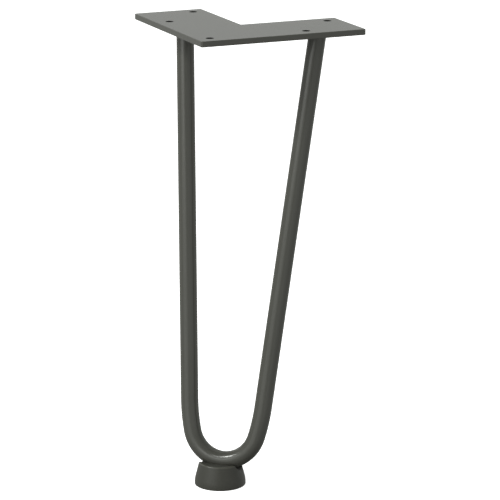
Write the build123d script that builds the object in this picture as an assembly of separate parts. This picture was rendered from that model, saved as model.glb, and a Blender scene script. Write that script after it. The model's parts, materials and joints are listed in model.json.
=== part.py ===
from build123d import *
import os
from math import acos, atan2, cos, degrees, hypot, radians, sin, sqrt

# Hairpin table leg, in millimetres: an L-shaped screw plate, one bent round bar welded under it, and a round
# foot with a channel across its top for the bar's bend. +Z is up, X runs across the two straight runs of the
# bar, and +Y runs along the plate's diagonal, from its outer corner to its notch. The origin is the corner
# screw hole, on the plate's top face.

# Mounting plate, cut from sheet steel
arm_length = 120.0  # an arm's outer edge, from the outer corner to the arm's end
arm_width = 50.0
plate_thickness = 4.0
outer_corner_radius = 1.5
notch_corner_radius = 1.0
plate_edge_break = 0.4  # the cut edges are broken all round, above and below

# Screw holes, drilled straight through
hole_diameter = 5.0
hole_inset = 10.0  # from a hole's centre to the two edges beside it

# Hairpin, bent from one length of round bar
rod_diameter = 12.0
rod_end_inset = 22.25  # from the bar's centre, at the plate, to the arm's end
rod_offset = 3.8  # from the arm's middle line to the bar's centre, at the plate, towards the notch
lean_angle = 10.3  # the bar's plane leans, with the foot towards the plate's outer corner
bend_radius = 24.5  # centreline of the tight part of the bend
shoulder_radius = 130.0  # centreline of the slack bend on each side of the tight one
shoulder_angle = 9.8

# Foot, moulded in plastic, with a straight channel across its top for the bend
leg_height = 316.8  # from the floor to the plate's top face
foot_height = 16.1
foot_base_diameter = 35.4
foot_top_diameter = 29.0
foot_band_height = 3.6  # the straight band below the taper
foot_flare_radius = 15.0  # from the taper into the band
foot_base_chamfer = 0.4
foot_lip_radius = 0.8  # rounds the rim and the channel's edges
foot_shift = 1.8  # the foot sits this far to the left of the bend's lowest point
seat_depth = 4.8  # from the foot's top down to the bend's lowest point
channel_depth = 4.45  # a little less than the seat, so the bend beds into the channel's floor
channel_clearance = 0.25  # the channel's radius, over the bar's

# Fillet welds round the bar's ends
weld_leg = 4.0  # the bead's reach along the bar and along the plate

# The plate's arms lie at 45 degrees to the row axes: u runs along the right arm, v along the left one
arms = Location((0, -sqrt(2) * hole_inset, 0), (0, 0, 45))


def on_diagonals(u, v):
    """A point given along the right and left arms, as X and Y."""
    return (u - v) / sqrt(2), (u + v) / sqrt(2) - sqrt(2) * hole_inset


# The hairpin's own plane stands on the plate's underside, midway between the bar's two ends
rod_radius = rod_diameter / 2
trim_spare = rod_diameter  # left on the bar and the welds above the plate's underside, and trimmed off there
underside = Plane((0, 0, -plate_thickness))
half_spacing, rod_top_y = on_diagonals(arm_length - rod_end_inset, arm_width / 2 + rod_offset)
lean = radians(lean_angle)
hairpin_plane = Plane(
    origin=(0, rod_top_y, -plate_thickness),
    x_dir=(1, 0, 0),
    z_dir=(0, -cos(lean), sin(lean)),
)
foot_top_z = foot_height - leg_height
bend_bottom_z = foot_top_z - seat_depth + rod_radius
hairpin_drop = (-plate_thickness - bend_bottom_z) / cos(lean)
bend_bottom_y = rod_top_y - hairpin_drop * sin(lean)

# Each straight run is tangent to a circle round the bend's centre, a little wider than the bend itself
# because of the shoulders, and that sets how far the run leans in its plane
shoulder = radians(shoulder_angle)
tangent_radius = bend_radius + (shoulder_radius - bend_radius) * (1 - cos(shoulder))
centre_drop = hairpin_drop - bend_radius
spread = acos(tangent_radius / hypot(half_spacing, centre_drop)) - atan2(centre_drop, half_spacing)


def mounting_plate():
    """The flat L with its five screw holes."""
    corner = (Align.MIN, Align.MIN)
    outline = Rectangle(arm_length, arm_width, align=corner) + Rectangle(arm_width, arm_length, align=corner)
    notch = (arm_width, arm_width)
    outline = fillet(outline.vertices().sort_by_distance(notch)[1:], outer_corner_radius)
    outline = fillet(outline.vertices().sort_by_distance(notch)[0], notch_corner_radius)
    plate = extrude(outline, -plate_thickness)
    plate = chamfer(plate.edges().filter_by(Plane.XY), plate_edge_break)
    far = arm_length - hole_inset
    near = arm_length - arm_width + hole_inset
    across = arm_width - hole_inset
    screws = [(hole_inset, hole_inset), (near, hole_inset), (far, across), (hole_inset, near), (across, far)]
    for u, v in screws:
        plate -= Pos(u, v, -plate_thickness / 2) * Cylinder(hole_diameter / 2, 2 * plate_thickness)
    return arms * plate


def hairpin_path():
    """The bar's centreline: a straight run, a shoulder, the tight bend, a shoulder and a straight run."""
    turned = spread + shoulder
    half_width = shoulder_radius * (cos(spread) - cos(turned)) + bend_radius * cos(turned)
    rise = shoulder_radius * (sin(turned) - sin(spread)) + bend_radius * (1 - sin(turned))
    left_top = Vector(-half_spacing, 0) + trim_spare * Vector(-sin(spread), cos(spread))
    left_run = Line(left_top, (-half_width, rise - hairpin_drop))
    left_shoulder = JernArc(left_run @ 1, left_run % 1, shoulder_radius, shoulder_angle)
    crown = JernArc(left_shoulder @ 1, left_shoulder % 1, bend_radius, 180 - 2 * degrees(turned))
    right_shoulder = JernArc(crown @ 1, crown % 1, shoulder_radius, shoulder_angle)
    right_run = Line(right_shoulder @ 1, (-left_top.X, left_top.Y))
    return hairpin_plane * Wire([left_run, left_shoulder, crown, right_shoulder, right_run])


def hairpin_rod():
    """The bent bar, left a little long and then trimmed flush with the plate's underside."""
    path = hairpin_path()
    section = Plane(path @ 0, z_dir=path % 0) * Circle(rod_radius)
    bar = sweep(section, path=path)
    return split(bar, bisect_by=underside, keep=Keep.BOTTOM)


def foot(rod):
    """The moulded foot with its channel, where the bend has bedded into the floor."""
    base = Vector(foot_base_diameter / 2, 0)
    band = Vector(foot_base_diameter / 2, foot_band_height)
    rim = Vector(foot_top_diameter / 2, foot_height)
    profile = make_face(Polyline((0, 0), base, band, rim, (0, foot_height), close=True))
    profile = fillet(profile.vertices().sort_by_distance(band)[0], foot_flare_radius)
    profile = chamfer(profile.vertices().sort_by_distance(base)[0], foot_base_chamfer)
    moulding = revolve(Plane.XZ * profile, Axis.Z)
    channel_radius = rod_radius + channel_clearance
    channel_height = foot_height - channel_depth + channel_radius
    moulding -= Pos(0, 0, channel_height) * Rot(0, 90, 0) * Cylinder(channel_radius, 2 * foot_base_diameter)
    lowest_lip = foot_height - channel_depth - foot_lip_radius
    moulding = fillet(moulding.edges().filter_by_position(Axis.Z, lowest_lip, foot_height), foot_lip_radius)
    return Pos(-foot_shift, bend_bottom_y, -leg_height) * moulding - rod


def weld_bead(side):
    """The fillet weld round one end of the bar; side is -1 for the left end and 1 for the right one."""
    along_run = hairpin_plane.x_dir * side * sin(spread) + hairpin_plane.y_dir * cos(spread)
    end = Plane((side * half_spacing, rod_top_y, -plate_thickness), z_dir=along_run)
    toe = (rod_radius, -weld_leg)
    flared = (rod_radius + weld_leg + trim_spare, trim_spare)
    profile = make_face(Polyline(toe, flared, (rod_radius, trim_spare), close=True))
    ring = revolve(Plane.XZ * profile, Axis.Z)
    return split(end * ring, bisect_by=underside, keep=Keep.BOTTOM)


os.makedirs("parts", exist_ok=True)
rod_solid = hairpin_rod()
solids = {
    "mounting_plate": mounting_plate(),
    "hairpin_rod": rod_solid,
    "foot": foot(rod_solid),
    "weld_bead_left": weld_bead(-1),
    "weld_bead_right": weld_bead(1),
}
for node, solid in solids.items():
    export_step(solid, f"parts/{node}.step")
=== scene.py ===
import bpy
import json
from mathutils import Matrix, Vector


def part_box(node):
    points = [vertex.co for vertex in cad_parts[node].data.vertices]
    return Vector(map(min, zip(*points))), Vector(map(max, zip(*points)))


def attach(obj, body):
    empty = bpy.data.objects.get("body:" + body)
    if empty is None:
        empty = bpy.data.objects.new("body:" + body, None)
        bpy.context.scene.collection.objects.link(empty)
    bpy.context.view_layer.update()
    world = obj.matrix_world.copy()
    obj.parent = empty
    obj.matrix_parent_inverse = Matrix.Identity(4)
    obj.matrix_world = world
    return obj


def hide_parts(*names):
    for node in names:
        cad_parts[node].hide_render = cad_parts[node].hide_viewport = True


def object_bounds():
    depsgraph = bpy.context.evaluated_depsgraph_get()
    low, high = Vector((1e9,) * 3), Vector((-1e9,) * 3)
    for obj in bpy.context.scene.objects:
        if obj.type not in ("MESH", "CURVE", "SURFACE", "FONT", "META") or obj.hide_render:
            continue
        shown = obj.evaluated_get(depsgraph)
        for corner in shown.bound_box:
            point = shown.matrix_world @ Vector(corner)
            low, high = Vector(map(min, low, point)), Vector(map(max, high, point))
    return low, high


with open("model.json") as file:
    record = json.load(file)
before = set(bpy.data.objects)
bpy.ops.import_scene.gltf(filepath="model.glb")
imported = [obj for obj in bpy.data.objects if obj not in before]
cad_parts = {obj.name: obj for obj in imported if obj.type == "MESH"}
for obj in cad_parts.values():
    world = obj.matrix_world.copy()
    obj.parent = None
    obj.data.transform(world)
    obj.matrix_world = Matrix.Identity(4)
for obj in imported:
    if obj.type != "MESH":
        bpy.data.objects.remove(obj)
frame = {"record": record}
CAD_BOX = [list(corner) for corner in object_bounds()]

import json
from math import acos, atan2, cos, floor, hypot, pi, radians, sin, sqrt, tan

import bmesh
import bpy
from bmesh.types import BMEdge, BMVert
from bpy.props import FloatProperty, FloatVectorProperty, IntProperty, PointerProperty
from bpy.types import NodeSocket, Operator, Panel, PropertyGroup
from mathutils import Matrix, Vector

bl_info = {
    "name": "Hairpin table leg",
    "version": (1, 0, 0),
    "blender": (4, 5, 0),
    "location": "3D View > Sidebar > Leg",
    "description": "Dresses a hairpin table leg in powder coat and plastic, on a white studio floor",
    "category": "Object",
}

# The frame is in metres
MM = 0.001

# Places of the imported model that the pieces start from
MOUNTS = {mount["name"]: mount for mount in frame["record"]["mounts"]}
HOLE_RADIUS = MOUNTS["corner_screw_hole"]["dims"]["r_mm"] * MM
PLATE_LOW, PLATE_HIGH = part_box("mounting_plate")
FOOT_LOW, FOOT_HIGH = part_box("foot")
FOOT_SIZE = FOOT_HIGH - FOOT_LOW
FOOT_MIDDLE = (FOOT_LOW + FOOT_HIGH) / 2
BAR_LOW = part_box("hairpin_rod")[0]

# Vertices closer than this become one, and points closer than this count as one place
MERGED = 0.001 * MM
SAME_PLACE = 0.01 * MM

# Edges that turn by more than this stay sharp
SHARP_ANGLE = radians(35)

# Sides of the round pieces: the bar, the foot and the studio floor
BAR_SIDES = 72
FOOT_SIDES = 128
FLOOR_SIDES = 64

# Metres from the leg to the lights, and to the edge of the studio floor
LIGHT_DISTANCE = 3.0
FLOOR_RADIUS = 8.0

# The studio paper's own glow, so that it photographs as white
PAPER_GLOW = 0.85

# Each soft light's name, its azimuth, elevation, width and height in degrees, and its brightness
LIGHTS = (
    ("key_lamp", -49, 37.5, 9, 14, 25.0),
    ("key_strip", -34, 44, 26, 5, 19.0),
    ("front_left_softbox", -22, 19, 30, 18, 1.7),
    ("front_screen", -20, 10, 52, 40, 0.56),
    ("left_softbox", -106, 25, 26, 26, 0.7),
    ("back_softbox", 180, 62, 40, 26, 0.28),
    ("back_screen", 190, 12, 80, 26, 0.09),
    ("right_screen", 60, 5, 60, 30, 0.19),
)

# The walls' tones, from straight down at 0 to straight up at 1
WALL_TONES = ((0.0, 0.0), (0.25, 0.36), (0.4, 0.56), (0.7, 0.555), (1.0, 0.21))


def linear(hex_colour):
    """An sRGB hex colour as the linear values that shaders take."""
    values = [int(hex_colour[i : i + 2], 16) / 255 for i in (0, 2, 4)]
    return [v / 12.92 if v <= 0.04045 else ((v + 0.055) / 1.055) ** 2.4 for v in values]


def length(name, description, default):
    """A size in metres that a user may change."""
    return FloatProperty(
        name=name,
        description=description,
        default=default,
        min=0.0,
        precision=5,
        subtype="DISTANCE",
        unit="LENGTH",
    )


def angle(name, description, degrees):
    """An angle that a user may change."""
    return FloatProperty(
        name=name,
        description=description,
        default=radians(degrees),
        subtype="ANGLE",
        unit="ROTATION",
    )


def colour(name, description, hex_colour):
    """A colour that a user may change."""
    return FloatVectorProperty(
        name=name,
        description=description,
        default=linear(hex_colour),
        size=3,
        min=0.0,
        max=1.0,
        subtype="COLOR",
    )


class PlateSettings(PropertyGroup):
    """The flat L that the leg is screwed on by."""

    arm_length: length("Arm length", "Outer edge of an arm, from the outer corner to the arm's end", 120 * MM)
    arm_width: length("Arm width", "Width of both arms", 50 * MM)
    thickness: length("Thickness", "Thickness of the sheet", PLATE_HIGH.z - PLATE_LOW.z)
    corner_radius: length("Corner radius", "Radius of the five outward corners, seen from above", 1.5 * MM)
    notch_radius: length("Notch radius", "Radius of the inward corner between the arms", 1 * MM)
    edge_round: length("Edge round", "Radius that the coating gives the cut edges", 0.4 * MM)
    hole_round: length("Hole round", "Rounding of the deburred rims of the screw holes", 0.28 * MM)
    hole_radius: length("Hole radius", "Radius of the screw holes", HOLE_RADIUS)
    hole_inset: length("Hole inset", "From a hole's centre to the two edges beside it", 10 * MM)


class BarSettings(PropertyGroup):
    """The round bar, bent once into a hairpin."""

    diameter: length("Diameter", "Diameter of the bar", 12 * MM)
    film: length("Film", "Thickness of the powder coat on the bar", 0.12 * MM)
    end_inset: length("End inset", "From the bar's centre, at the plate, to the arm's end", 22.25 * MM)
    edge_inset: length("Edge inset", "From the bar's centre, at the plate, to the outer edge", 28.8 * MM)
    lean: angle("Lean", "Lean of the hairpin's plane, with the foot towards the plate's outer corner", 10.3)
    bend_radius: length("Bend radius", "Centreline radius of the tight part of the bend", 24.5 * MM)
    shoulder_radius: length("Shoulder radius", "Centreline radius of the slack bend on each side", 130 * MM)
    shoulder_angle: angle("Shoulder angle", "Turn of the slack bend on each side", 9.8)


class FootSettings(PropertyGroup):
    """The moulded foot under the bend."""

    height: length("Height", "Height of the foot", FOOT_SIZE.z)
    base_radius: length("Base radius", "Radius of the straight band", FOOT_SIZE.x / 2)
    top_radius: length("Top radius", "Radius of the flat top", 14.5 * MM)
    band_height: length("Band height", "Height of the straight band below the taper", 3.6 * MM)
    flare_radius: length("Flare radius", "Rounding from the taper into the band", 15 * MM)
    base_round: length("Base round", "Rounding of the lower edge", 0.4 * MM)
    rim_round: length("Rim round", "Rounding of the upper edge", 0.8 * MM)
    channel_depth: length("Channel depth", "Depth of the straight channel across the top", 4.45 * MM)
    channel_room: length("Channel room", "How much wider the channel's radius is than the bar's", 0.25 * MM)
    lip_round: length("Lip round", "Rounding of the channel's two long edges", 0.8 * MM)
    seat_gap: length("Seat gap", "Room between the bend and its bed in the channel's floor", 0.05 * MM)
    body: colour("Body", "The plastic's colour", "363630")
    worn: colour("Worn", "The plastic's colour where handling has polished it", "393933")
    # A paler colour painted along the rim: a painted highlight for the thin line of light that the rim
    # catches
    painted_highlight: colour("Painted highlight", "The plastic's colour along the rubbed rim", "4a4a43")


class WeldSettings(PropertyGroup):
    """The fillet welds round the bar's ends."""

    leg: length("Leg", "Reach of the bead along the bar and along the plate", 4 * MM)
    crown: length("Crown", "How far the bead's face bulges", 0.5 * MM)
    ripple: length("Ripple", "Height of the ripples that the weld pool leaves", 0.22 * MM)
    ripples: IntProperty(name="Ripples", description="Ripples round one bead", default=24, min=3)


class CoatSettings(PropertyGroup):
    """The powder coat on the steel."""

    body: colour("Body", "The powder coat's colour", "4a4a45")
    thin: colour("Thin", "The colour where the film is a little thinner", "464641")
    # The next two colours are painted shade: near black, for the shade inside the drilled holes
    hole_shade: colour("Hole shade", "The colour in the drilled holes, painted near black as their shade", "0c0c0b")
    hole_shade_fleck: colour("Hole shade fleck", "The colour of the flecks in the painted shade of the drilled holes", "1a1a18")


class StageSettings(PropertyGroup):
    """The floor, the light and the camera."""

    floor: colour("Floor", "The studio floor's colour", "fafafa")
    tint: colour("Tint", "The faint cast of the lamps and walls", "fdfffb")
    azimuth: angle("Azimuth", "Camera's turn round the leg, from straight ahead towards the right", 21.117)
    elevation: angle("Elevation", "Camera's height above the horizon", 14.552)
    roll: angle("Roll", "Camera's turn about its line of sight", 0.067)
    lens: FloatProperty(name="Lens", description="Focal length", default=199.12, unit="CAMERA")
    camera_place: FloatVectorProperty(
        name="Camera place",
        description="Where the camera stands",
        default=(0.67300, -1.66856, 0.32283),
        subtype="XYZ",
    )


class LegSettings(PropertyGroup):
    """All settings of the leg."""

    plate: PointerProperty(type=PlateSettings)
    bar: PointerProperty(type=BarSettings)
    foot: PointerProperty(type=FootSettings)
    weld: PointerProperty(type=WeldSettings)
    coat: PointerProperty(type=CoatSettings)
    stage: PointerProperty(type=StageSettings)


def add(tree, kind, inputs=None, **settings):
    """Adds a node, sets its properties, and sets or links its inputs by name."""
    made = tree.nodes.new(kind)
    for name, value in settings.items():
        setattr(made, name, value)
    for name, value in (inputs or {}).items():
        if isinstance(value, NodeSocket):
            tree.links.new(value, made.inputs[name])
        else:
            made.inputs[name].default_value = value
    return made


def blank_material(name):
    """A new material with an empty node tree."""
    material = bpy.data.materials.new(name)
    material.use_nodes = True
    material.node_tree.nodes.clear()
    return material, material.node_tree


def powder_coat(name, coat, peel_mm, peel_height_mm):
    """Satin polyester powder coat, baked on steel. The powder melts into one film with a faint orange peel:
    the colour is even, and a highlight is narrow, with a soft edge that the peel breaks up a little."""
    material, tree = blank_material(name)
    film_mm = 28.0
    fleck_mm = 0.5
    smoothest = 0.18
    roughest = 0.23
    place = add(tree, "ShaderNodeTexCoord").outputs["Object"]
    in_mm = add(tree, "ShaderNodeMapping", {"Vector": place, "Scale": (1 / MM,) * 3}).outputs["Vector"]
    film = add(tree, "ShaderNodeTexNoise", {"Vector": in_mm, "Scale": 1 / film_mm, "Detail": 2.0})
    fleck = add(tree, "ShaderNodeTexNoise", {"Vector": in_mm, "Scale": 1 / fleck_mm, "Detail": 1.0})
    peel = add(tree, "ShaderNodeTexNoise", {"Vector": in_mm, "Scale": 1 / peel_mm, "Detail": 1.5})
    tint = add(
        tree, "ShaderNodeMix",
        {"Factor": film.outputs["Fac"], "A": (*coat.body, 1.0), "B": (*coat.thin, 1.0)},
        data_type="RGBA",
    )
    gloss = add(
        tree, "ShaderNodeMapRange",
        {
            "Value": fleck.outputs["Fac"], "From Min": 0.25, "From Max": 0.75,
            "To Min": smoothest, "To Max": roughest,
        },
    )
    skin = add(
        tree, "ShaderNodeBump",
        {"Height": peel.outputs["Fac"], "Distance": peel_height_mm * MM, "Strength": 1.0},
    )
    shader = add(
        tree, "ShaderNodeBsdfPrincipled",
        {
            "Base Color": tint.outputs["Result"], "Roughness": gloss.outputs["Result"],
            "Normal": skin.outputs["Normal"], "IOR": 1.5,
        },
    )
    add(tree, "ShaderNodeOutputMaterial", {"Surface": shader.outputs["BSDF"]})
    return material


def painted_hole_shade(name, coat):
    """Powder coat in a drilled hole, drawn near black: painted shade for the recess of the hole. It is dull,
    with no highlight, pitted, and flecked between two dark tones."""
    material, tree = blank_material(name)
    pit_mm = 0.6
    pit_depth_mm = 0.03
    place = add(tree, "ShaderNodeTexCoord").outputs["Object"]
    in_mm = add(tree, "ShaderNodeMapping", {"Vector": place, "Scale": (1 / MM,) * 3}).outputs["Vector"]
    pits = add(tree, "ShaderNodeTexNoise", {"Vector": in_mm, "Scale": 1 / pit_mm, "Detail": 2.0})
    # Painted shade: the hole walls are coloured near black, flecked between the two dark tones
    tint = add(
        tree, "ShaderNodeMix",
        {"Factor": pits.outputs["Fac"], "A": (*coat.hole_shade, 1.0), "B": (*coat.hole_shade_fleck, 1.0)},
        data_type="RGBA",
    )
    skin = add(
        tree, "ShaderNodeBump",
        {"Height": pits.outputs["Fac"], "Distance": pit_depth_mm * MM, "Strength": 1.0},
    )
    shader = add(
        tree, "ShaderNodeBsdfPrincipled",
        {
            "Base Color": tint.outputs["Result"], "Roughness": 0.65, "Normal": skin.outputs["Normal"],
            "IOR": 1.5, "Specular IOR Level": 0.1,
        },
    )
    add(tree, "ShaderNodeOutputMaterial", {"Surface": shader.outputs["BSDF"]})
    return material


def moulded_plastic(name, foot):
    """Polypropylene, moulded against a finely eroded tool. The grain makes it dull: it shades softly with
    hardly a highlight, a little darker than the coat. Handling has polished it in patches. Along the rim the
    colour is painted paler, a painted highlight for the thin line of light that the rim catches, and the rim
    is drawn smoother too. The real grain is about 0.15 mm, too fine to show, so it is drawn at 0.5 mm."""
    material, tree = blank_material(name)
    patch_mm = 9.0
    grain_mm = 0.5
    grain_height_mm = 0.012
    dull_gloss = 0.5
    polished_gloss = 0.44
    # The rim band gets a painted highlight, a paler colour, and a smoother gloss
    painted_highlight_gloss = 0.28
    painted_highlight_from = FOOT_HIGH.z - 1.5 * foot.rim_round
    painted_highlight_beyond = foot.top_radius - 2 * foot.rim_round
    place = add(tree, "ShaderNodeTexCoord").outputs["Object"]
    in_mm = add(tree, "ShaderNodeMapping", {"Vector": place, "Scale": (1 / MM,) * 3}).outputs["Vector"]
    patch = add(tree, "ShaderNodeTexNoise", {"Vector": in_mm, "Scale": 1 / patch_mm, "Detail": 3.0})
    grain = add(tree, "ShaderNodeTexNoise", {"Vector": in_mm, "Scale": 1 / grain_mm, "Detail": 2.0})
    patchy_tint = add(
        tree, "ShaderNodeMix",
        {"Factor": patch.outputs["Fac"], "A": (*foot.body, 1.0), "B": (*foot.worn, 1.0)},
        data_type="RGBA",
    )
    patchy_gloss = add(
        tree, "ShaderNodeMapRange",
        {
            "Value": patch.outputs["Fac"], "From Min": 0.3, "From Max": 0.7,
            "To Min": dull_gloss, "To Max": polished_gloss,
        },
    )
    height = add(tree, "ShaderNodeSeparateXYZ", {"Vector": place}).outputs["Z"]
    near_top = add(
        tree, "ShaderNodeMapRange",
        {"Value": height, "From Min": painted_highlight_from, "From Max": painted_highlight_from + foot.rim_round},
    )
    off_axis = add(
        tree, "ShaderNodeMapping",
        {"Vector": place, "Location": (-FOOT_MIDDLE.x, -FOOT_MIDDLE.y, 0.0), "Scale": (1.0, 1.0, 0.0)},
    )
    radius = add(tree, "ShaderNodeVectorMath", {0: off_axis.outputs["Vector"]}, operation="LENGTH")
    near_rim = add(
        tree, "ShaderNodeMapRange",
        {
            "Value": radius.outputs["Value"],
            "From Min": painted_highlight_beyond, "From Max": painted_highlight_beyond + foot.rim_round,
        },
    )
    # Mask of the rim band, for the painted highlight and the smoother gloss
    painted_highlight = add(
        tree, "ShaderNodeMath",
        {0: near_top.outputs["Result"], 1: near_rim.outputs["Result"]},
        operation="MULTIPLY",
    ).outputs["Value"]
    # Painted highlight: the rim band is mixed towards the paler colour
    tint = add(
        tree, "ShaderNodeMix",
        {"Factor": painted_highlight, "A": patchy_tint.outputs["Result"], "B": (*foot.painted_highlight, 1.0)},
        data_type="RGBA",
    )
    gloss = add(
        tree, "ShaderNodeMapRange",
        {"Value": painted_highlight, "To Min": patchy_gloss.outputs["Result"], "To Max": painted_highlight_gloss},
    )
    skin = add(
        tree, "ShaderNodeBump",
        {"Height": grain.outputs["Fac"], "Distance": grain_height_mm * MM, "Strength": 1.0},
    )
    shader = add(
        tree, "ShaderNodeBsdfPrincipled",
        {
            "Base Color": tint.outputs["Result"], "Roughness": gloss.outputs["Result"],
            "Normal": skin.outputs["Normal"], "IOR": 1.49,
        },
    )
    add(tree, "ShaderNodeOutputMaterial", {"Surface": shader.outputs["BSDF"]})
    return material


def only(kind, items):
    """Those items of a bmesh that are of one kind."""
    return [item for item in items if isinstance(item, kind)]


def everything(bm):
    """All vertices, edges and faces of a bmesh."""
    return bm.verts[:] + bm.edges[:] + bm.faces[:]


def add_ring(bm, sides, radius, matrix):
    """Adds a circle and gives its edges, in the same order each run."""
    ring = bmesh.ops.create_circle(bm, segments=sides, radius=radius, matrix=matrix)["verts"]
    return list(dict.fromkeys(edge for vert in ring for edge in vert.link_edges))


def soften(bm, edges, offset, segments):
    """Rounds edges."""
    bmesh.ops.bevel(
        bm,
        geom=edges,
        offset=offset,
        segments=segments,
        profile=0.5,
        affect="EDGES",
        material=-1,
        clamp_overlap=True,
    )


def turned(outline, steps):
    """A shell turned about the z axis, from an outline of radii and heights."""
    bm = bmesh.new()
    verts = [bm.verts.new((radius, 0, height)) for radius, height in outline]
    edges = [bm.edges.new(pair) for pair in zip(verts, verts[1:])]
    bmesh.ops.spin(
        bm, geom=verts + edges, cent=(0, 0, 0), axis=(0, 0, 1), angle=2 * pi, steps=steps, use_merge=True
    )
    bmesh.ops.remove_doubles(bm, verts=bm.verts, dist=MERGED)
    return bm


def piece_from(bm, name, *materials):
    """Turns a finished bmesh into an object of the scene, smooth across shallow edges."""
    bmesh.ops.remove_doubles(bm, verts=bm.verts, dist=MERGED)
    bmesh.ops.recalc_face_normals(bm, faces=bm.faces)
    mesh = bpy.data.meshes.new(name)
    bm.to_mesh(mesh)
    bm.free()
    for material in materials:
        mesh.materials.append(material)
    piece = bpy.data.objects.new(name, mesh)
    bpy.context.scene.collection.objects.link(piece)
    finish_mesh(piece)
    return piece


def finish_mesh(piece):
    """Smooth shading with crisp sharp edges, and flat faces kept flat."""
    piece.data.shade_smooth()
    piece.data.set_sharp_from_angle(angle=SHARP_ANGLE)
    flat = piece.modifiers.new("flat_faces", "WEIGHTED_NORMAL")
    flat.keep_sharp = True


def stand_for(piece, node):
    """The piece shows in place of a CAD node, whose box it has to match."""
    low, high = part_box(node)
    corners = [Vector(c) for c in piece.bound_box]
    reach = [Vector(map(pick, *corners)) for pick in (min, max)]
    slack = 1.0 * MM
    if max((reach[0] - low).length, (reach[1] - high).length) > slack:
        raise RuntimeError(f"{piece.name} doesn't fill the place of {node}: {reach} against {low}, {high}")
    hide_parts(node)
    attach(piece, "root")


def arms_to_row(plate):
    """From the plate's two outer edges, u along the right arm and v along the left one, to the row frame."""
    return Matrix.Translation((0, -sqrt(2) * plate.hole_inset, 0)) @ Matrix.Rotation(pi / 4, 4, "Z")


def screw_places(plate):
    """The five holes' centres along the two outer edges."""
    inset = plate.hole_inset
    far = plate.arm_length - inset
    near = plate.arm_length - plate.arm_width + inset
    across = plate.arm_width - inset
    return [(inset, inset), (near, inset), (far, across), (inset, near), (across, far)]


def cut_screw_hole(bm, centre, radius):
    """Opens a round hole in the middle of the square face round a point."""
    cuts_a_side = 5
    cell = min(bm.faces, key=lambda face: (face.calc_center_bounds() - centre).length)
    bmesh.ops.subdivide_edges(bm, edges=cell.edges[:], cuts=cuts_a_side)
    outside = cell.edges[:]
    bmesh.ops.delete(bm, geom=[cell], context="FACES_ONLY")
    facing = Matrix.Translation(centre) @ Matrix.Rotation(pi / 4, 4, "Z")
    inside = add_ring(bm, len(outside), radius, facing)
    bmesh.ops.bridge_loops(bm, edges=outside + inside)


def upright_edges(bm, places):
    """The edges that stand at these points of the plate's outline."""
    found = []
    for edge in bm.edges:
        a, b = (vert.co.to_2d() for vert in edge.verts)
        upright = (a - b).length < SAME_PLACE
        if upright and any((a - Vector(place)).length < SAME_PLACE for place in places):
            found.append(edge)
    return found


def level(face):
    """Whether a face of the plate lies flat."""
    nearly_vertical = 0.9
    return abs(face.normal.z) > nearly_vertical


def in_hole(plate, point):
    """Whether a point of the plate lies at a screw hole, its rounded rim included."""
    rim_allowance = 1.2
    reach = rim_allowance * plate.hole_radius
    return any(hypot(point.x - u, point.y - v) < reach for u, v in screw_places(plate))


def rim_edges(bm, plate):
    """The edges between a flat face and a wall: those of the outline, and those of the holes."""
    shared = [edge for edge in bm.edges if len(edge.link_faces) == 2]
    rims = [edge for edge in shared if level(edge.link_faces[0]) != level(edge.link_faces[1])]
    at_hole = [edge for edge in rims if in_hole(plate, edge.verts[0].co)]
    return [edge for edge in rims if edge not in at_hole], at_hole


class LEG_OT_mounting_plate(Operator):
    """Cut the flat L, drill it and round its edges"""

    bl_idname = "leg.mounting_plate"
    bl_label = "Mounting plate"

    def execute(self, context):
        leg = context.scene.hairpin_leg
        plate = leg.plate
        bm = self.flat_outline(plate)
        lower = bmesh.ops.extrude_face_region(bm, geom=bm.faces[:])["geom"]
        bmesh.ops.translate(bm, verts=only(BMVert, lower), vec=(0, 0, -plate.thickness))
        bmesh.ops.recalc_face_normals(bm, faces=bm.faces)
        reach, width = plate.arm_length, plate.arm_width
        outward = [(0, 0), (reach, 0), (reach, width), (width, reach), (0, reach)]
        soften(bm, upright_edges(bm, outward), plate.corner_radius, segments=8)
        soften(bm, upright_edges(bm, [(width, width)]), plate.notch_radius, segments=5)
        outline, holes = rim_edges(bm, plate)
        soften(bm, outline, plate.edge_round, segments=4)
        soften(bm, holes, plate.hole_round, segments=3)
        # Faces at the holes take the second material, the painted hole shade
        for face in bm.faces:
            face.material_index = int(in_hole(plate, face.calc_center_median()))
        bmesh.ops.transform(bm, matrix=arms_to_row(plate), verts=bm.verts)
        coat = powder_coat(
            "Satin powder coat on sheet steel", leg.coat, peel_mm=1.6, peel_height_mm=0.012
        )
        # The holes' material is painted shade, near black
        film = painted_hole_shade("Painted shade in drilled holes", leg.coat)
        stand_for(piece_from(bm, "coated_plate", coat, film), "mounting_plate")
        return {"FINISHED"}

    @staticmethod
    def flat_outline(plate):
        """The L's top face with its holes, cut from a square along lines that box each hole in."""
        reach, width, cell = plate.arm_length, plate.arm_width, 2 * plate.hole_inset
        bm = bmesh.new()
        middle = Matrix.Translation((reach / 2, reach / 2, 0))
        bmesh.ops.create_grid(bm, x_segments=1, y_segments=1, size=reach / 2, matrix=middle)
        for line in sorted({cell, width - cell, width, reach - width, reach - width + cell, reach - cell}):
            for along in (Vector((1, 0, 0)), Vector((0, 1, 0))):
                bmesh.ops.bisect_plane(bm, geom=everything(bm), plane_co=along * line, plane_no=along)
        beyond = [face for face in bm.faces if min(face.calc_center_median()[:2]) > width]
        bmesh.ops.delete(bm, geom=beyond, context="FACES")
        for u, v in screw_places(plate):
            cut_screw_hole(bm, Vector((u, v, 0)), plate.hole_radius)
        return bm


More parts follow.
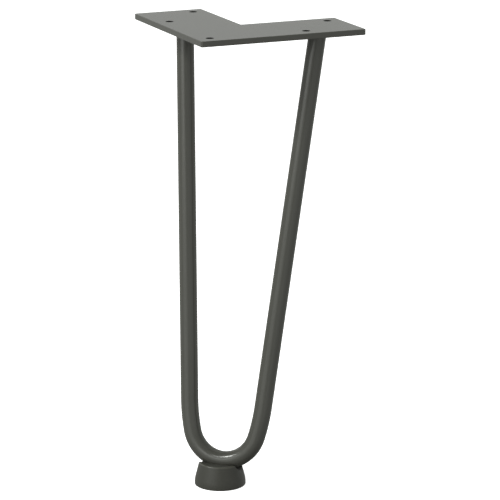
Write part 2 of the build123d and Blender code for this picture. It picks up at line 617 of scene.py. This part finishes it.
class Hairpin:
    """Where the bar runs: its plane, how far its straight runs lean in that plane, and its bends."""

    shoulder_steps = 14
    bend_steps = 72

    def __init__(self, leg):
        bar, plate = leg.bar, leg.plate
        u, v = plate.arm_length - bar.end_inset, bar.edge_inset
        self.top = arms_to_row(plate) @ Vector((u, v, -plate.thickness))
        self.radius = bar.diameter / 2
        self.drop = (-plate.thickness - (BAR_LOW.z + self.radius)) / cos(bar.lean)
        slack, tight, shoulder = bar.shoulder_radius, bar.bend_radius, bar.shoulder_angle
        tangent_radius = tight + (slack - tight) * (1 - cos(shoulder))
        centre_drop = self.drop - tight
        half = self.top.x
        self.spread = acos(tangent_radius / hypot(half, centre_drop)) - atan2(centre_drop, half)
        turned_by = self.spread + shoulder
        self.bends = [
            (slack, shoulder, self.shoulder_steps),
            (tight, pi - 2 * turned_by, self.bend_steps),
            (slack, shoulder, self.shoulder_steps),
        ]
        half_width = slack * (cos(self.spread) - cos(turned_by)) + tight * cos(turned_by)
        rise = slack * (sin(turned_by) - sin(self.spread)) + tight * (1 - sin(turned_by))
        self.first_bend = Vector((-half_width, rise - self.drop, 0))
        self.left_end = Vector((-half, 0, 0))
        lean = Matrix.Rotation(pi / 2 - bar.lean, 4, "X")
        self.to_row = Matrix.Translation((0, self.top.y, -plate.thickness)) @ lean

    def run(self, side):
        """The direction up a straight run, in the row frame: side is -1 for the left one, 1 for the right."""
        up = Vector((side * sin(self.spread), cos(self.spread), 0))
        return (self.to_row.to_3x3() @ up).normalized()

    def tube(self, radius, spare):
        """The bar's outside as a bmesh in the row frame, left long by spare at both ends."""
        bm = bmesh.new()
        heading = Vector((sin(self.spread), -cos(self.spread), 0))
        start = self.left_end - heading * spare
        facing = Matrix.Translation(start) @ heading.to_track_quat("Z", "Y").to_matrix().to_4x4()
        edges = self.draw(bm, add_ring(bm, BAR_SIDES, radius, facing), self.first_bend - start)
        place = self.first_bend.copy()
        for bend_radius, turn, steps in self.bends:
            centre = place + bend_radius * Vector((-heading.y, heading.x, 0))
            spun = bmesh.ops.spin(
                bm, geom=edges, cent=centre, axis=(0, 0, 1), angle=turn, steps=steps, use_merge=False
            )
            edges = only(BMEdge, spun["geom_last"])
            swing = Matrix.Rotation(turn, 3, "Z")
            place = centre + swing @ (place - centre)
            heading = swing @ heading
        self.draw(bm, edges, heading * (self.first_bend - start).length)
        bmesh.ops.transform(bm, matrix=self.to_row, verts=bm.verts)
        bmesh.ops.recalc_face_normals(bm, faces=bm.faces)
        return bm

    @staticmethod
    def draw(bm, edges, vector):
        """Extrudes a ring of edges along a straight line and gives the new ring."""
        drawn = bmesh.ops.extrude_edge_only(bm, edges=edges)["geom"]
        far = only(BMVert, drawn)
        bmesh.ops.translate(bm, verts=far, vec=vector)
        return [edge for edge in only(BMEdge, drawn) if set(edge.verts) <= set(far)]


def trim_beyond(bm, point, direction):
    """Cuts away what lies beyond a plane and gives the cut edges."""
    cut = bmesh.ops.bisect_plane(
        bm, geom=everything(bm), plane_co=point, plane_no=direction, clear_outer=True
    )
    return only(BMEdge, cut["geom_cut"])


class LEG_OT_hairpin_rod(Operator):
    """Bend the bar and trim its ends flush with the plate"""

    bl_idname = "leg.hairpin_rod"
    bl_label = "Hairpin rod"

    def execute(self, context):
        leg = context.scene.hairpin_leg
        hairpin = Hairpin(leg)
        bm = hairpin.tube(hairpin.radius + leg.bar.film, spare=leg.bar.diameter)
        ends = trim_beyond(bm, Vector((0, 0, -leg.plate.thickness)), Vector((0, 0, 1)))
        bmesh.ops.holes_fill(bm, edges=ends, sides=0)
        coat = powder_coat("Satin powder coat on round bar", leg.coat, peel_mm=1.8, peel_height_mm=0.009)
        stand_for(piece_from(bm, "coated_bar", coat), "hairpin_rod")
        return {"FINISHED"}


def at_ring(bm, radius, height):
    """The edges of a turned piece that lie on one circle."""

    def on_it(vert):
        off_circle = abs(hypot(vert.co.x, vert.co.y) - radius)
        return off_circle < SAME_PLACE and abs(vert.co.z - height) < SAME_PLACE

    return [edge for edge in bm.edges if all(on_it(vert) for vert in edge.verts)]


def cut_away(piece, cutters):
    """Takes the cutters' shapes out of a piece's own mesh and deletes the cutters."""
    piece.modifiers.clear()
    for cutter in cutters:
        cut = piece.modifiers.new(cutter.name, "BOOLEAN")
        cut.operation = "DIFFERENCE"
        cut.solver = "EXACT"
        cut.object = cutter
    bpy.context.view_layer.update()
    result = piece.evaluated_get(bpy.context.evaluated_depsgraph_get())
    mesh = bpy.data.meshes.new_from_object(result)
    piece.modifiers.clear()
    piece.data = mesh
    for cutter in cutters:
        bpy.data.objects.remove(cutter)
    finish_mesh(piece)


class LEG_OT_foot(Operator):
    """Shape the foot, cut the channel across its top and bed the bend in the channel's floor"""

    bl_idname = "leg.foot"
    bl_label = "Foot"

    def execute(self, context):
        leg = context.scene.hairpin_leg
        foot = leg.foot
        outline = [
            (0, 0),
            (foot.base_radius, 0),
            (foot.base_radius, foot.band_height),
            (foot.top_radius, foot.height),
            (0, foot.height),
        ]
        bm = turned(outline, FOOT_SIDES)
        bmesh.ops.recalc_face_normals(bm, faces=bm.faces)
        taper = atan2(foot.base_radius - foot.top_radius, foot.height - foot.band_height)
        flare = foot.flare_radius * tan(taper / 2)
        soften(bm, at_ring(bm, foot.base_radius, foot.band_height), flare, segments=8)
        soften(bm, at_ring(bm, foot.base_radius, 0), foot.base_round, segments=4)
        rim = foot.rim_round * tan(pi / 4 - taper / 2)
        soften(bm, at_ring(bm, foot.top_radius, foot.height), rim, segments=6)
        bmesh.ops.translate(bm, verts=bm.verts, vec=(FOOT_MIDDLE.x, FOOT_MIDDLE.y, FOOT_LOW.z))
        plastic = moulded_plastic("Moulded polypropylene with a fine grain", foot)
        piece = piece_from(bm, "moulded_foot", plastic)
        cut_away(piece, [self.channel(leg, plastic), self.bed(leg, plastic)])
        stand_for(piece, "foot")
        return {"FINISHED"}

    @staticmethod
    def channel(leg, material):
        """What the channel takes away: a round bar across the foot, spread out over its rounded lips."""
        foot = leg.foot
        lip = foot.lip_round
        radius = leg.bar.diameter / 2 + foot.channel_room
        rise = radius - foot.channel_depth
        turn = acos((rise + lip) / (radius + lip))
        reach = (radius + lip) * sin(turn)
        # The lips stop this far short of level, and beyond them the cutter's wings rise as steeply
        ease = radians(6)
        lip_steps = 10
        floor_steps = 40
        arcs = [
            ((0, -reach, -lip), ease - turn, lip_steps),
            ((0, 0, rise), 2 * turn, floor_steps),
            ((0, reach, -lip), ease - turn, lip_steps),
        ]
        bm = bmesh.new()
        first = last = bm.verts.new((0, lip * sin(ease) - reach, lip * (cos(ease) - 1)))
        for centre, swing, steps in arcs:
            spun = bmesh.ops.spin(
                bm, geom=[last], cent=centre, axis=(1, 0, 0), angle=swing, steps=steps, use_merge=False
            )
            last = only(BMVert, spun["geom_last"])[0]
        wide = 2 * foot.base_radius
        left = bm.verts.new(first.co + wide * Vector((0, -cos(ease), sin(ease))))
        right = bm.verts.new(last.co + wide * Vector((0, cos(ease), sin(ease))))
        for pair in ((left, first), (last, right), (right, left)):
            bm.edges.new(pair)
        bmesh.ops.contextual_create(bm, geom=bm.edges[:])
        drawn = bmesh.ops.extrude_face_region(bm, geom=bm.faces[:])["geom"]
        bmesh.ops.translate(bm, verts=only(BMVert, drawn), vec=(2 * wide, 0, 0))
        bmesh.ops.translate(bm, verts=bm.verts, vec=(FOOT_MIDDLE.x - wide, FOOT_MIDDLE.y, FOOT_HIGH.z))
        return piece_from(bm, "channel_cutter", material)

    @staticmethod
    def bed(leg, material):
        """The bend itself, with a hair of room."""
        hairpin = Hairpin(leg)
        bm = hairpin.tube(hairpin.radius + leg.bar.film + leg.foot.seat_gap, spare=0)
        bmesh.ops.holes_fill(bm, edges=[edge for edge in bm.edges if edge.is_boundary], sides=0)
        return piece_from(bm, "bed_cutter", material)


class LEG_OT_weld_beads(Operator):
    """Lay the rippled fillet welds round both ends of the bar"""

    bl_idname = "leg.weld_beads"
    bl_label = "Weld beads"

    def execute(self, context):
        leg = context.scene.hairpin_leg
        coat = powder_coat(
            "Satin powder coat over weld metal", leg.coat, peel_mm=1.2, peel_height_mm=0.014
        )
        for side, word in ((-1, "left"), (1, "right")):
            bm = self.bead(leg, side)
            piece = piece_from(bm, f"coated_weld_{word}", coat)
            stand_for(piece, f"weld_bead_{word}")
        return {"FINISHED"}

    def bead(self, leg, side):
        """One bead: a fillet spun round the bar, trimmed at the plate, then bulged and rippled."""
        weld, hairpin = leg.weld, Hairpin(leg)
        steps_a_ripple = 10
        rows = 9
        spare = 2 * weld.leg
        up = hairpin.run(side)
        end = Vector((side * hairpin.top.x, hairpin.top.y, hairpin.top.z))
        stand = Matrix.Translation(end) @ up.to_track_quat("Z", "Y").to_matrix().to_4x4()
        plate_side = stand.to_3x3().inverted() @ Vector((0, 0, 1))
        outline = [
            (hairpin.radius, spare),
            (hairpin.radius, -weld.leg),
            (hairpin.radius + weld.leg + spare, spare),
        ]
        bm = turned(outline, weld.ripples * steps_a_ripple)
        cut = trim_beyond(bm, Vector((0, 0, 0)), plate_side)
        slanted = [edge for edge in bm.edges if self.slope(edge, hairpin) > MM]
        bmesh.ops.bridge_loops(bm, edges=cut)
        bmesh.ops.subdivide_edges(bm, edges=slanted, cuts=rows, use_grid_fill=True)
        for vert in bm.verts:
            off_bar = self.from_bar(vert, hairpin)
            off_plate = -plate_side.dot(vert.co)
            belly = 4 * max(off_bar, 0) * max(off_plate, 0) / weld.leg**2
            outward = Vector((vert.co.x, vert.co.y, 0)).normalized() - plate_side
            vert.co += outward.normalized() * self.lift(weld, side, atan2(vert.co.y, vert.co.x), belly)
        bmesh.ops.transform(bm, matrix=stand, verts=bm.verts)
        return bm

    @staticmethod
    def lift(weld, side, turn, belly):
        """How far the bead's face stands out: belly is 0 at its two toes and about 1 midway between them."""
        # The welder's pace drifts, and the middle of each ripple trails behind its ends
        drift = 0.1 * sin(3 * turn + side)
        trail = 0.45 * belly
        phase = turn / (2 * pi) * weld.ripples + drift - trail
        wave = phase - floor(phase)
        unevenness = 1 + 0.25 * sin(2 * turn + 2 * side) + 0.15 * sin(5 * turn)
        return belly * (weld.crown + weld.ripple * unevenness * (1 - (2 * wave - 1) ** 2))

    @staticmethod
    def from_bar(vert, hairpin):
        """How far a vertex of the bead lies from the bar's surface."""
        return hypot(vert.co.x, vert.co.y) - hairpin.radius

    def slope(self, edge, hairpin):
        """How much farther from the bar one end of an edge lies than the other."""
        near, far = (self.from_bar(vert, hairpin) for vert in edge.verts)
        return abs(near - far)


def softbox(name, tint, azimuth, elevation, wide, tall, brightness):
    """A soft area light that faces the leg. Its place and size are angles in degrees as the leg sees them,
    with azimuth 0 straight ahead of the leg and 90 on its right. A brightness of 1 is that of white paper."""
    light = bpy.data.lights.new(name, "AREA")
    light.shape = "RECTANGLE"
    light.color = tint
    light.size = 2 * LIGHT_DISTANCE * tan(radians(wide / 2))
    light.size_y = 2 * LIGHT_DISTANCE * tan(radians(tall / 2))
    light.energy = brightness * pi * light.size * light.size_y
    holder = bpy.data.objects.new(name, light)
    a, e = radians(azimuth), radians(elevation)
    back = Vector((sin(a) * cos(e), -cos(a) * cos(e), sin(e)))
    holder.location = (Vector(CAD_BOX[0]) + Vector(CAD_BOX[1])) / 2 + back * LIGHT_DISTANCE
    holder.rotation_euler = back.to_track_quat("Z", "Y").to_euler()
    holder.visible_camera = False
    bpy.context.scene.collection.objects.link(holder)


def white_room(tint):
    """The studio's pale walls, dim overhead and dark below, with white behind all that is photographed."""
    world = bpy.data.worlds.new("white_room")
    world.use_nodes = True
    tree = world.node_tree
    tree.nodes.clear()
    way = add(tree, "ShaderNodeTexCoord").outputs["Generated"]
    rise = add(tree, "ShaderNodeSeparateXYZ", {"Vector": way}).outputs["Z"]
    share = add(tree, "ShaderNodeMapRange", {"Value": rise, "From Min": -1.0, "From Max": 1.0})
    tones = add(tree, "ShaderNodeValToRGB", {"Fac": share.outputs["Result"]})
    for _ in WALL_TONES[2:]:
        tones.color_ramp.elements.new(0.5)
    for stop, (place, tone) in zip(tones.color_ramp.elements, WALL_TONES):
        stop.position = place
        stop.color = (*(tone * part for part in tint), 1.0)
    walls = add(tree, "ShaderNodeBackground", {"Color": tones.outputs["Color"]})
    backdrop = add(tree, "ShaderNodeBackground", {"Color": (1.0, 1.0, 1.0, 1.0)})
    photographed = add(tree, "ShaderNodeLightPath").outputs["Is Camera Ray"]
    both = add(
        tree, "ShaderNodeMixShader",
        {0: photographed, 1: walls.outputs["Background"], 2: backdrop.outputs["Background"]},
    )
    add(tree, "ShaderNodeOutputWorld", {"Surface": both.outputs["Shader"]})
    return world


def lit_white(name, body):
    """Seamless white studio paper, lit so evenly that it photographs as white."""
    material, tree = blank_material(name)
    shader = add(
        tree, "ShaderNodeBsdfPrincipled",
        {
            "Base Color": (*body, 1.0), "Roughness": 0.9, "Specular IOR Level": 0.1,
            "Emission Color": (1.0, 1.0, 1.0, 1.0), "Emission Strength": PAPER_GLOW,
        },
    )
    add(tree, "ShaderNodeOutputMaterial", {"Surface": shader.outputs["BSDF"]})
    return material


class LEG_OT_stage(Operator):
    """Set up the white floor, the soft lights and the camera"""

    bl_idname = "leg.stage"
    bl_label = "Stage"

    def execute(self, context):
        scene = context.scene
        stage = scene.hairpin_leg.stage
        bm = bmesh.new()
        bmesh.ops.create_circle(bm, cap_ends=True, segments=FLOOR_SIDES, radius=FLOOR_RADIUS)
        bmesh.ops.translate(bm, verts=bm.verts, vec=(0, 0, FOOT_LOW.z))
        mesh = bpy.data.meshes.new("studio_floor")
        bm.to_mesh(mesh)
        bm.free()
        paper = bpy.data.objects.new("studio_floor", mesh)
        scene.collection.objects.link(paper)
        mesh.materials.append(lit_white("White studio paper", stage.floor))
        paper.visible_diffuse = False
        paper.visible_glossy = False
        paper.visible_shadow = False

        for name, azimuth, elevation, wide, tall, brightness in LIGHTS:
            softbox(name, stage.tint, azimuth, elevation, wide, tall, brightness)
        scene.world = white_room(stage.tint)
        scene.view_settings.view_transform = "Standard"

        camera = bpy.data.cameras.new("camera")
        camera.lens = stage.lens
        camera.sensor_width = 36.0
        holder = bpy.data.objects.new("camera", camera)
        holder.location = stage.camera_place
        turn = Matrix.Rotation(stage.azimuth, 3, "Z") @ Matrix.Rotation(pi / 2 - stage.elevation, 3, "X")
        holder.rotation_euler = (turn @ Matrix.Rotation(stage.roll, 3, "Z")).to_euler()
        scene.collection.objects.link(holder)
        scene.camera = holder
        return {"FINISHED"}


class LEG_PT_panel(Panel):
    """The leg's pieces and their sizes"""

    bl_idname = "LEG_PT_panel"
    bl_label = "Hairpin table leg"
    bl_space_type = "VIEW_3D"
    bl_region_type = "UI"
    bl_category = "Leg"

    def draw(self, context):
        leg = context.scene.hairpin_leg
        for operator in OPERATORS:
            self.layout.operator(operator.bl_idname)
        for group in LegSettings.__annotations__:
            box = self.layout.box()
            box.label(text=group.capitalize())
            settings = getattr(leg, group)
            for name in settings.__annotations__:
                box.prop(settings, name)


SETTINGS = (
    PlateSettings,
    BarSettings,
    FootSettings,
    WeldSettings,
    CoatSettings,
    StageSettings,
    LegSettings,
)
OPERATORS = (
    LEG_OT_mounting_plate,
    LEG_OT_hairpin_rod,
    LEG_OT_foot,
    LEG_OT_weld_beads,
    LEG_OT_stage,
)
CLASSES = (*SETTINGS, *OPERATORS, LEG_PT_panel)


def register():
    """Registers the classes and hangs the settings on the scene."""
    for cls in CLASSES:
        bpy.utils.register_class(cls)
    bpy.types.Scene.hairpin_leg = PointerProperty(type=LegSettings)


def unregister():
    """Takes the settings and the classes away again."""
    del bpy.types.Scene.hairpin_leg
    for cls in reversed(CLASSES):
        bpy.utils.unregister_class(cls)


def main():
    """Registers the classes, then builds every piece and the stage."""
    register()
    bpy.ops.leg.mounting_plate()
    bpy.ops.leg.hairpin_rod()
    bpy.ops.leg.foot()
    bpy.ops.leg.weld_beads()
    bpy.ops.leg.stage()


if __name__ == "__main__":
    main()
